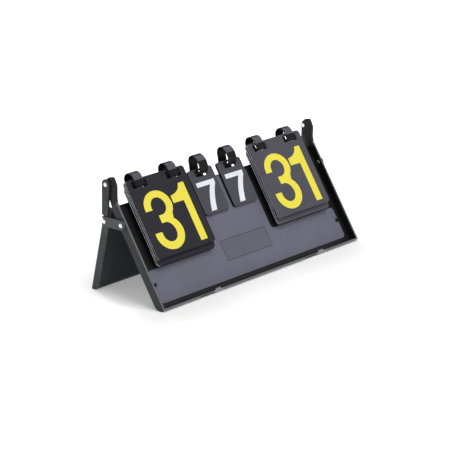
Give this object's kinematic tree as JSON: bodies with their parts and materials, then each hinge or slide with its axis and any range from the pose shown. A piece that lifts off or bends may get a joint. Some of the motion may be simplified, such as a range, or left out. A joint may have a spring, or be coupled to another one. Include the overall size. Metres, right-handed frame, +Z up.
{
  "type": "tabletop flip scoreboard",
  "caption": "Tabletop flip scoreboard that stands as an A, with large score cards and small set cards hung on loops, and folds shut as a flat case.",
  "frame": {"origin": "centre of the object's footprint on the table, at table height", "axes": "+X to the viewer's right along the hinge, +Y to the back, +Z up"},
  "size_m": [0.3928, 0.1382, 0.1637],
  "materials": {
    "tray_plastic": "moulded black plastic, fine satin grain",
    "shell_plastic": "moulded black plastic, fine satin grain",
    "panel_print": "flat dark grey sheet with a slight violet cast",
    "loop_plastic": "smooth black plastic",
    "rivet_metal": "bright plated steel",
    "stay_plastic": "moulded black plastic",
    "catch_plastic": "grey moulded plastic",
    "left_score_card": "smooth dark card with a soft sheen",
    "right_score_card": "smooth dark grey card with a soft sheen",
    "set_card": "smooth dark card with a soft sheen"
  },
  "bodies": {
    "tray": {"front_panel": "panel_print", "front_tray": "tray_plastic", "hinge_rivet_left": "rivet_metal", "hinge_rivet_right": "rivet_metal", "loop_left_large_left": "loop_plastic", "loop_left_large_right": "loop_plastic", "loop_left_small": "loop_plastic", "loop_right_large_left": "loop_plastic", "loop_right_large_right": "loop_plastic", "loop_right_small": "loop_plastic", "rim_catch_left": "catch_plastic", "rim_catch_right": "catch_plastic", "score_pack_left": "left_score_card", "score_pack_right": "right_score_card", "set_pack_left": "set_card", "set_pack_right": "set_card", "stay_rivet_left": "rivet_metal", "stay_rivet_right": "rivet_metal"},
    "rear_leg": {"rear_shell": "shell_plastic", "stay_stud_left": "rivet_metal", "stay_stud_right": "rivet_metal"},
    "stay_left": {"stay_left": "stay_plastic"},
    "stay_right": {"stay_right": "stay_plastic"},
    "score_card_left": {"score_card_left": "left_score_card"},
    "score_card_right": {"score_card_right": "right_score_card"},
    "set_card_left": {"set_card_left": "set_card"},
    "set_card_right": {"set_card_right": "set_card"}
  },
  "joints": [
    {"name": "leg_fold", "type": "hinge", "parent": "tray", "child": "rear_leg", "pos_m": [0, 0.03134, 0.15305], "axis": [1, 0, 0], "range_deg": [0, 312]},
    {"name": "stay_left_swing", "type": "hinge", "parent": "tray", "child": "stay_left", "pos_m": [0, 0.00474, 0.10273], "axis": [1, 0, 0], "range_deg": [-122, 0.5]},
    {"name": "stay_right_swing", "type": "hinge", "parent": "tray", "child": "stay_right", "pos_m": [0, 0.00474, 0.10273], "axis": [1, 0, 0], "range_deg": [-122, 0.5]},
    {"name": "score_left_flip", "type": "hinge", "parent": "tray", "child": "score_card_left", "pos_m": [0, 0.0282, 0.14913], "axis": [-1, 0, 0], "range_deg": [0, 265]},
    {"name": "set_left_flip", "type": "hinge", "parent": "tray", "child": "set_card_left", "pos_m": [0, 0.02828, 0.14372], "axis": [-1, 0, 0], "range_deg": [0, 296]},
    {"name": "score_right_flip", "type": "hinge", "parent": "tray", "child": "score_card_right", "pos_m": [0, 0.0282, 0.14913], "axis": [-1, 0, 0], "range_deg": [0, 265]},
    {"name": "set_right_flip", "type": "hinge", "parent": "tray", "child": "set_card_right", "pos_m": [0, 0.02828, 0.14372], "axis": [-1, 0, 0], "range_deg": [0, 296]}
  ],
  "couplings": [
    {"joint": "stay_left_swing", "follows": "leg_fold", "ratio": -0.3888},
    {"joint": "stay_right_swing", "follows": "leg_fold", "ratio": -0.3888}
  ]
}
